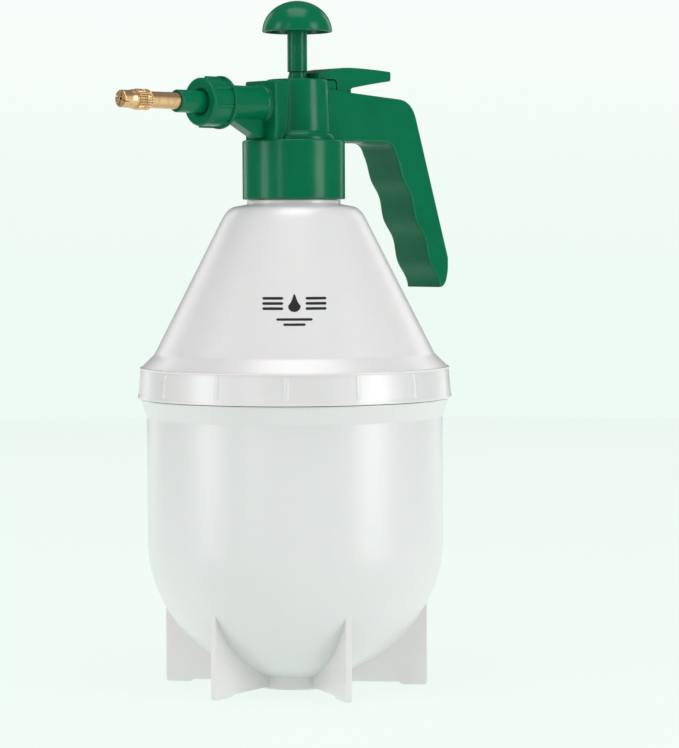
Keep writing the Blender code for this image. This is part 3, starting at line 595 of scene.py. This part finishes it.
def make_head():
    cap = [(0.0, 0.2087), (0.0220, 0.2087, 0.0005), (0.0220, 0.2339, 0.0011), (0.0, 0.2339)]
    tower = [
        (0.0, 0.2329), (0.0166, 0.2329), (0.0166, 0.2352, 0.0010), (0.0155, 0.2370, 0.0010), (0.01435, 0.2374, 0.0008),
        (0.0133, 0.2599, 0.0010), (0.0043, 0.2599, 0.0004), (0.0035, 0.2632, 0.0004), (0.0, 0.2632),
    ]
    root = curve_through((0.0092, 0.0216), (0.0076, 0.0218), (0.0075, 0.0234), 6)
    tube = [(0.0, 0.0207), (0.0092, 0.0207)] + root
    tube += rounded([(0.0075, 0.0300), (0.0075, 0.0436, 0.0005), (0.0067, 0.0436), (0.0067, 0.0438)])[1:-1]
    tube += rows(0.0063, 0.0438, 0.0492, 40) + [(0.0060, 0.0497), (0.0, 0.0497)]

    winding = thread(0.0063, 0.0440, 0.0491, 0.0025, 0.0004, -1.0)
    plate = rounded(
        [(-0.0095, 0.2333, 0.0010), (0.0095, 0.2333, 0.0010), (0.0095, 0.2587, 0.0010), (-0.0095, 0.2587, 0.0010)]
    )
    web = ahead([(0.0207, 0.2332), (0.0207, 0.2583), (0.0080, 0.2594), (0.0080, 0.2332)])
    gusset = ahead([(0.0205, 0.2345), (0.0256, 0.2345), (0.0412, 0.2424), (0.0412, NOZZLE_Z), (0.0205, NOZZLE_Z)])
    lever_stop = behind([(0.0090, 0.2480), (0.0152, 0.2480), (0.0152, 0.2586), (0.0141, 0.2597), (0.0090, 0.2597)])

    head = turned("head_look", rounded(cap, 5), upright(0.0), 128)
    solids = [
        turned("tower", rounded(tower, 5), upright(PUMP_X), 96),
        slab("handle", handle_outline(), -0.01045, 0.01045, 0.0010),
        slab("plate", plate, PUMP_X - 0.0217, PUMP_X - 0.0190, 0.0007, lambda u, v, w: (w, u, v)),
        slab("web", web, -0.0069, 0.0069, 0.0005),
        turned("tube", tube, along_nozzle, 96, winding),
        slab("gusset", gusset, -0.0034, 0.0034, 0.0006),
        slab("lever_stop", lever_stop, -0.0084, 0.0084, 0.0004),
    ]
    combine(head, solids, "UNION")

    cavity = [(0.0, 0.2000), (0.0197, 0.2000), (0.0197, 0.2310, 0.0006), (0.0, 0.2310)]
    bore = [
        (0.0, 0.2300), (0.0119, 0.2300), (0.0119, 0.2582, 0.0004), (0.0029, 0.2582), (0.0029, 0.2642), (0.0, 0.2642),
    ]
    channel = [(0.0152, 0.2522), (0.0300, 0.2522), (0.0300, 0.2498, 0.0006), (0.0505, 0.2498), (0.0505, 0.2640)]
    channel += [(0.0152, 0.2640)]
    slot = [(0.0154, 0.2466), (0.0298, 0.2466), (0.0298, 0.2540), (0.0154, 0.2540)]
    well = [(0.0, 0.2346), (0.0034, 0.2346), (0.0034, 0.2387), (0.0053, 0.2387), (0.0053, 0.2490), (0.0, 0.2490)]
    socket = [(0.0, 0.2300), (0.0026, 0.2300), (0.0026, 0.2332), (0.0, 0.2332)]
    outlet = [(0.0, 0.0190), (0.0018, 0.0190), (0.0018, 0.0510), (0.0, 0.0510)]
    cuts = [
        turned("cap_cavity", rounded(cavity), upright(0.0), 96),
        turned("tower_bore", rounded(bore), upright(PUMP_X), 80),
        turned("dip_socket", socket, upright(DIP_X), 40),
        turned("outlet_bore", outlet, along_nozzle, 40),
        slab("trigger_channel", rounded(behind(channel)), -0.0088, 0.0088, 0.0),
        slab("lug_slot", behind(slot), -0.0062, 0.0062, 0.0),
        turned("valve_well", well, upright(VALVE_X), 48),
        cross_rod("pin_hole", PIVOT_X, PIVOT_Z, LEVER_PIN_HOLE_R, 0.0090, segments=32),
    ]
    combine(head, cuts + handle_pockets(), "DIFFERENCE")
    return stands_for(even_shading(head), "head_body", "head", "green_plastic")


def make_trigger():
    top = [(0.0050, 0.2629, 0.0008), (0.0086, 0.2635, 0.0016), (0.0146, 0.2649, 0.003)]
    top += [(0.0213, 0.2656, 0.004), (0.0300, 0.2656, 0.004), (0.0400, 0.2652, 0.004), (0.0482, 0.2647, 0.0008)]
    under = [(0.0482, 0.2606, 0.0010), (0.0422, 0.2598, 0.003), (0.0327, 0.2583, 0.004), (0.0247, 0.2569, 0.001)]
    under += [(0.0232, 0.2557), (0.0232, 0.2536), (0.0156, 0.2536), (0.0156, 0.2590), (0.0145, 0.2602)]
    under += [(0.0050, 0.2602)]
    lever = slab("lever_look", rounded(behind(top + under), 5), -0.0085, 0.0085, 0.0004)
    lug = [(0.0158, 0.2560), (0.0158, PIVOT_Z), (0.0166, 0.2476, 0.001), (0.0185, 0.2469, 0.001)]
    lug += [(0.0204, 0.2476, 0.001), (0.0212, PIVOT_Z), (0.0264, PIVOT_Z), (0.0264, 0.2580)]
    lug += [(0.0158, 0.2580)]
    combine(lever, [slab("lug", rounded(behind(lug), 5), -0.0059, 0.0059, 0.0002)], "UNION")
    pin_hole = cross_rod("lug_hole", PIVOT_X, PIVOT_Z, LEVER_PIN_HOLE_R, 0.0100, segments=32)
    combine(lever, [pin_hole], "DIFFERENCE")
    return stands_for(even_shading(lever), "trigger_lever", "trigger", "green_plastic")


def make_knob():
    rim, top, outer, height = 0.2802, 0.2935, 0.0150, 0.0133
    inner_r, inner_h = 0.0134, 0.0115
    bore, sleeve, foot = 0.0029, 0.00425, 0.26325
    first = math.asin(sleeve / inner_r)
    profile = rounded([(bore, 0.2640), (bore, foot, 0.0001), (sleeve, foot, 0.0002), (sleeve, 0.2700)])[1:-1]
    profile.append((sleeve, 0.2780))
    for i in range(17):
        t = first + (math.pi / 2 - first) * i / 16
        profile.append((inner_r * math.sin(t), rim + inner_h * math.cos(t)))
    profile += [(inner_r + 0.0002, rim), (outer - 0.0003, rim), (outer - 0.00006, rim + 0.0003)]
    for i in range(1, 33):
        t = math.pi / 2 * (1 - i / 32)
        profile.append((outer * math.sin(t), rim + height * math.cos(t)))
    profile[-1] = (0.0, top)
    profile += [(0.0, top - 0.0052), (bore, top - 0.0052)]
    knob = turned("knob_look", profile, upright(PUMP_X), 96)
    return stands_for(knob, "pump_knob", "plunger", "green_plastic")


# ---- Spray outlet -------------------------------------------------------------------------------------------
def make_nut():
    first, width = math.radians(101.0), 0.0013 / 0.0102
    rib_low, rib_high = 0.0455, 0.0544

    def shape(r, a, s):
        if abs(r - 0.0100) < 1e-6 and rib_low - 1e-7 <= s <= rib_high + 1e-7:
            fade = min(1.0, (rib_high - s) / 0.0003)
            return r + 0.0008 * rib_height(a, NUT_RIBS, first, width) * fade
        return r

    outside = [(0.0070, 0.0439), (0.0111, 0.0439, 0.0003), (0.0111, 0.0452, 0.0003), (0.0100, 0.0453, 0.0002)]
    outside += [(0.0100, s) for s in (0.0457, 0.0470, 0.0490, 0.0510, 0.0540, 0.0544)]
    outside += [(0.0100, 0.0547), (0.0100, 0.0557, 0.0009), (0.0062, 0.0557, 0.0002), (0.0051, 0.0547, 0.0002)]
    outside += [(0.0051, 0.0536), (0.0070, 0.0536)]
    nut = turned("nut_look", rounded(outside, 5), along_nozzle, rib_angles(NUT_RIBS, first, width, 6), shape)
    return stands_for(nut, "coupling_nut", "nut", "green_plastic")


def make_stem():
    collar = [
        (0.0014, 0.0517), (0.0066, 0.0517, 0.0002), (0.0066, 0.0533, 0.0002), (0.0047, 0.0533),
        (0.0047, 0.0684, 0.0006), (0.0039, 0.0684, 0.0001), (0.0039, 0.0600), (0.0014, 0.0600),
    ]
    barrel = rounded([(0.0010, 0.0603), (0.0036, 0.0603, 0.0002), (0.0034, 0.0833, 0.0002), (0.0025, 0.0834)])[:-1]
    barrel += rows(0.0023, 0.0835, 0.0914, 50) + [(0.0021, 0.0920), (0.0010, 0.0920)]
    winding = thread(0.0023, 0.0836, 0.0913, 0.0010, 0.0004, -1.0)
    ring = [
        (0.0030, 0.0836), (0.0039, 0.0836, 0.0002), (0.0043, 0.0841), (0.0043, 0.0859), (0.0037, 0.0864),
        (0.0030, 0.0864),
    ]
    teeth = knurl(0.0043, 0.0841, 0.0859, KNURL_TEETH, 0.0004)
    collar = turned("collar_look", rounded(collar), along_nozzle, 72)
    barrel = turned("barrel_look", barrel, along_nozzle, 72, winding)
    ring = turned("ring_look", rounded(ring), along_nozzle, 240, teeth, 25)
    stands_for(collar, "nozzle_collar", "spray_stem", "green_plastic")
    stands_for(barrel, "spray_barrel", "spray_stem", "brass")
    stands_for(ring, "lock_ring", "spray_stem", "brass")


def make_tip():
    outside = [
        (0.0030, 0.0867), (0.0038, 0.0867), (0.0043, 0.0871), (0.0043, 0.0903), (0.0040, 0.0905), (0.0036, 0.0906),
        (0.0036, 0.0913), (0.0040, 0.0916, 0.0002), (0.0036, 0.0938, 0.0005), (0.0036, 0.0978, 0.0003),
        (0.0007, 0.0978, 0.0001), (0.0007, 0.0933), (0.0030, 0.0933),
    ]
    teeth = knurl(0.0043, 0.0871, 0.0903, KNURL_TEETH, 0.0004)
    tip = turned("tip_look", rounded(outside), along_nozzle, 240, teeth, 25)
    slots = []
    for k in range(4):
        turn = math.radians(20.0 + 90.0 * k)
        across = [(0.0011, -0.0003), (0.0046, -0.0003), (0.0046, 0.0003), (0.0011, 0.0003)]
        across = [(u * math.cos(turn) - v * math.sin(turn), u * math.sin(turn) + v * math.cos(turn)) for u, v in across]
        place = lambda u, v, w: (PUMP_X - w, u, NOZZLE_Z + v)
        slots.append(slab(f"slot_{k}", across, 0.0964, 0.0990, 0.0, place))
    combine(tip, slots, "DIFFERENCE")
    tip.data.set_sharp_from_angle(angle=math.radians(25))
    return stands_for(tip, "nozzle_tip", "tip", "brass")


# ---- Seals, pump, valve and suction tube --------------------------------------------------------------------
def coil_spring(name, x, low, high, coil_r, wire_r, turns):
    bm = bmesh.new()
    steps, sides = int(turns * 40), 12
    rings = []
    for i in range(steps + 1):
        a = math.tau * turns * i / steps
        z = low + wire_r + (high - low - 2 * wire_r) * i / steps
        out = Vector((math.cos(a), math.sin(a), 0.0))
        centre = Vector((x, 0.0, z)) + out * coil_r
        ring = []
        for k in range(sides):
            b = math.tau * k / sides
            ring.append(bm.verts.new(centre + (out * math.cos(b) + Vector((0, 0, math.sin(b)))) * wire_r))
        rings.append(ring)
    for low_ring, high_ring in zip(rings, rings[1:]):
        for k in range(sides):
            m = (k + 1) % sides
            bm.faces.new((low_ring[k], low_ring[m], high_ring[m], high_ring[k]))
    bm.faces.new(rings[0])
    bm.faces.new(rings[-1])
    return mesh_object(name, bm)


def make_inner_pieces():
    at, valve = upright(PUMP_X), upright(VALVE_X)
    floor, foot = 0.1400, 0.1460
    guard_foot = floor - 0.0075
    disc = guard_foot + 0.0015
    small = 0.0002
    pieces = [
        ("tank_seal", "tank_gasket", "black_rubber", upright(0.0), 128,
         [(0.0627, 0.1343, small), (0.0627, 0.1357, small), (0.0594, 0.1357, small), (0.0594, 0.1343, small)]),
        ("head_seal", "head_gasket", "black_rubber", upright(0.0), 96,
         [(0.0194, 0.2290, small), (0.0194, 0.2307, small), (0.0164, 0.2307, small), (0.0164, 0.2290, small)]),
        ("pump_cylinder", "head", "natural_plastic", at, 80,
         [(0.0115, 0.2578), (0.0115, 0.2307), (0.0124, 0.2307, small), (0.0124, 0.2292, small), (0.0115, 0.2292),
          (0.0115, floor, 0.0010), (0.0050, floor, small), (0.0050, floor - 0.0035, small), (0.0018, floor - 0.0035),
          (0.0018, floor + WALL, small), (0.0104, floor + WALL, 0.0006), (0.0104, 0.2578)]),
        ("valve_guard", "head", "green_plastic", at, 64,
         [(0.0053, floor - 0.0004), (0.0066, floor - 0.0004, small), (0.0066, guard_foot, 0.0006),
          (0.0022, guard_foot, small), (0.0022, guard_foot + 0.0012), (0.0053, guard_foot + 0.0012)]),
        ("check_valve", "check_disc", "black_rubber", at, 48,
         [(0.0, disc), (0.0042, disc, small), (0.0042, disc + 0.0012, small), (0.0, disc + 0.0012)]),
        ("piston", "plunger", "natural_plastic", at, 64,
         [(0.0029, foot), (0.0099, foot, 0.0004), (0.0099, foot + 0.0028, small), (0.0078, foot + 0.0028),
          (0.0078, foot + 0.0066), (0.0099, foot + 0.0066, small), (0.0099, foot + 0.0100, 0.0004),
          (0.0029, foot + 0.0100)]),
        ("piston_seal", "plunger", "black_rubber", at, 64,
         [(0.0081, foot + 0.0031), (0.0094, foot + 0.0031, small), (0.0101, foot + 0.0063, small),
          (0.0093, foot + 0.0063, small), (0.0090, foot + 0.0044, small), (0.0081, foot + 0.0044)]),
        ("plunger_rod", "plunger", "steel", at, 48,
         [(0.0, foot - 0.0015), (0.0050, foot - 0.0015, small), (0.0050, foot - 0.0003, small), (0.0026, foot - 0.0003),
          (0.0026, 0.2880, 0.0006), (0.0, 0.2880)]),
        ("valve_housing", "head", "natural_plastic", valve, 48,
         [(0.0015, 0.2390), (0.0050, 0.2390, small), (0.0050, 0.2466, small), (0.0034, 0.2466, small),
          (0.0034, 0.2402), (0.0015, 0.2402)]),
        ("valve_pin", "valve", "brass", valve, 40,
         [(0.0, 0.2360), (0.0026, 0.2360, small), (0.0026, 0.2370, small), (0.0012, 0.2370), (0.0012, 0.2452),
          (0.0029, 0.2452, small), (0.0029, 0.2462, small), (0.0012, 0.2462), (0.0012, 0.2492, 0.0006), (0.0, 0.2492)]),
        ("valve_seal", "valve", "black_rubber", valve, 40,
         [(0.0028, 0.2373, small), (0.0028, 0.2387, small), (0.0015, 0.2387), (0.0015, 0.2373)]),
        ("stem_washer", "head", "black_rubber", along_nozzle, 64,
         [(0.0064, 0.0500, small), (0.0064, 0.0514, small), (0.0018, 0.0514), (0.0018, 0.0500)]),
        ("tip_washer", "tip_gasket", "black_rubber", along_nozzle, 40,
         [(0.0028, 0.0923, 0.0001), (0.0028, 0.0930, 0.0001), (0.0012, 0.0930), (0.0012, 0.0923)]),
        ("dip_tube", "head", "natural_plastic", upright(DIP_X), 40,
         [(0.0023, 0.2329, small), (0.0016, 0.2329), (0.0016, 0.0120), (0.0023, 0.0120, small)]),
        ("dip_strainer", "head", "green_plastic", upright(DIP_X), 40,
         [(0.0026, 0.0180), (0.0031, 0.0180, small), (0.0031, 0.0080, 0.0004), (0.0012, 0.0080), (0.0012, 0.0117),
          (0.0026, 0.0117)]),
    ]
    for node, body, slot, place, segments, profile in pieces:
        stands_for(turned(f"{node}_look", rounded(profile), place, segments), node, body, slot)
    pin = cross_rod("pin_look", PIVOT_X, PIVOT_Z, 0.00125, 0.0087, 0.0003)
    stands_for(pin, "trigger_pin", "head", "steel")
    low, high = 0.2405, 0.2449
    spring = coil_spring("spring_look", VALVE_X, low, high, 0.0024, 0.00035, 4)
    stands_for(spring, "valve_spring", "head", "steel")
    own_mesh(spring)


# ---- Studio -------------------------------------------------------------------------------------------------
def polar(angle_deg, distance, height):
    a = math.radians(angle_deg)
    return Vector((distance * math.cos(a), distance * math.sin(a), height))


def softbox(name, location, target, width, height, power):
    light = bpy.data.lights.new(name, "AREA")
    light.shape = "RECTANGLE"
    light.size, light.size_y = width, height
    light.energy = power
    obj = bpy.data.objects.new(name, light)
    obj.location = location
    obj.rotation_euler = (Vector(target) - Vector(location)).to_track_quat("-Z", "Y").to_euler()
    bpy.context.scene.collection.objects.link(obj)
    return obj


def make_studio():
    bm = bmesh.new()
    bmesh.ops.create_circle(bm, cap_ends=True, segments=96, radius=1.7)
    floor = mesh_object("studio_floor", bm)
    floor.location.z = -0.0004
    mat, shader = new_material("studio_floor", Roughness=0.9, Specular_IOR_Level=0.0, Emission_Strength=0.855)
    shader.inputs["Emission Color"].default_value = (0.895, 1.0, 0.937, 1.0)
    vary_colour(mat, shader, noise(mat, 1.2, 1.0), (0.105, 0.115, 0.11), (0.115, 0.12, 0.117))
    floor.data.materials.append(mat)

    world = bpy.data.worlds.new("studio")
    bpy.context.scene.world = world
    world.use_nodes = True
    tree = world.node_tree
    tree.nodes.clear()
    output = tree.nodes.new("ShaderNodeOutputWorld")
    path = tree.nodes.new("ShaderNodeLightPath")
    seen, light = tree.nodes.new("ShaderNodeBackground"), tree.nodes.new("ShaderNodeBackground")
    place, parts = tree.nodes.new("ShaderNodeTexCoord"), tree.nodes.new("ShaderNodeSeparateXYZ")
    ramp = tree.nodes.new("ShaderNodeValToRGB")
    ramp.color_ramp.elements[0].position = 0.49
    ramp.color_ramp.elements[0].color = (0.85, 0.957, 0.895, 1.0)
    ramp.color_ramp.elements[1].position = 0.56
    ramp.color_ramp.elements[1].color = (0.96, 0.99, 0.975, 1.0)
    halve = tree.nodes.new("ShaderNodeMapRange")
    halve.inputs["From Min"].default_value = -1.0
    tree.links.new(place.outputs["Generated"], parts.inputs["Vector"])
    tree.links.new(parts.outputs["Z"], halve.inputs["Value"])
    tree.links.new(halve.outputs["Result"], ramp.inputs["Fac"])
    tree.links.new(ramp.outputs["Color"], seen.inputs["Color"])
    light.inputs["Color"].default_value = (1.0, 1.0, 1.0, 1.0)
    light.inputs["Strength"].default_value = 0.50
    mirrored = tree.nodes.new("ShaderNodeBackground")
    mirrored.inputs["Color"].default_value = (1.0, 1.0, 1.0, 1.0)
    mirrored.inputs["Strength"].default_value = 0.10
    glossy, mix = tree.nodes.new("ShaderNodeMixShader"), tree.nodes.new("ShaderNodeMixShader")
    tree.links.new(path.outputs["Is Glossy Ray"], glossy.inputs["Fac"])
    tree.links.new(light.outputs["Background"], glossy.inputs[1])
    tree.links.new(mirrored.outputs["Background"], glossy.inputs[2])
    tree.links.new(path.outputs["Is Camera Ray"], mix.inputs["Fac"])
    tree.links.new(glossy.outputs["Shader"], mix.inputs[1])
    tree.links.new(seen.outputs["Background"], mix.inputs[2])
    tree.links.new(mix.outputs["Shader"], output.inputs["Surface"])

    middle = (0.0, 0.0, 0.16)
    front = (("side_left", -68, 0.40, 6.2), ("strip_left", -31, 0.10, 1.7), ("side_right", 60, 0.48, 9.2))
    for name, turn, width, power in front:
        softbox(name, polar(CAMERA_DEG + turn, 1.3, 0.34), middle, width, 1.30, power)
    softbox("overhead", (-0.15, -0.15, 1.5), (0.0, 0.0, 0.1), 0.9, 0.9, 7.0)
    softbox("back_left", polar(CAMERA_DEG + 140, 1.5, 0.5), middle, 0.5, 1.3, 2.5)
    softbox("back_right", polar(CAMERA_DEG - 140, 1.5, 0.5), middle, 0.5, 1.3, 2.5)
    bpy.context.scene.view_settings.view_transform = "Standard"

    camera = bpy.data.objects.new("camera", bpy.data.cameras.new("camera"))
    camera.location = (-0.7901, -0.8479, 0.1938)
    look = Matrix.Rotation(math.radians(-43.931), 3, "Z") @ Matrix.Rotation(math.radians(90 - 2.974), 3, "X")
    camera.rotation_euler = (look @ Matrix.Rotation(math.radians(CAMERA_ROLL_DEG), 3, "Z")).to_euler()
    camera.data.lens = 129.7
    camera.data.sensor_width = 36.0
    bpy.context.scene.collection.objects.link(camera)
    bpy.context.scene.camera = camera


make_bowl()
make_cone()
make_print()
make_head()
make_trigger()
make_knob()
make_nut()
make_stem()
make_tip()
make_inner_pieces()
make_studio()

bpy.context.view_layer.update()
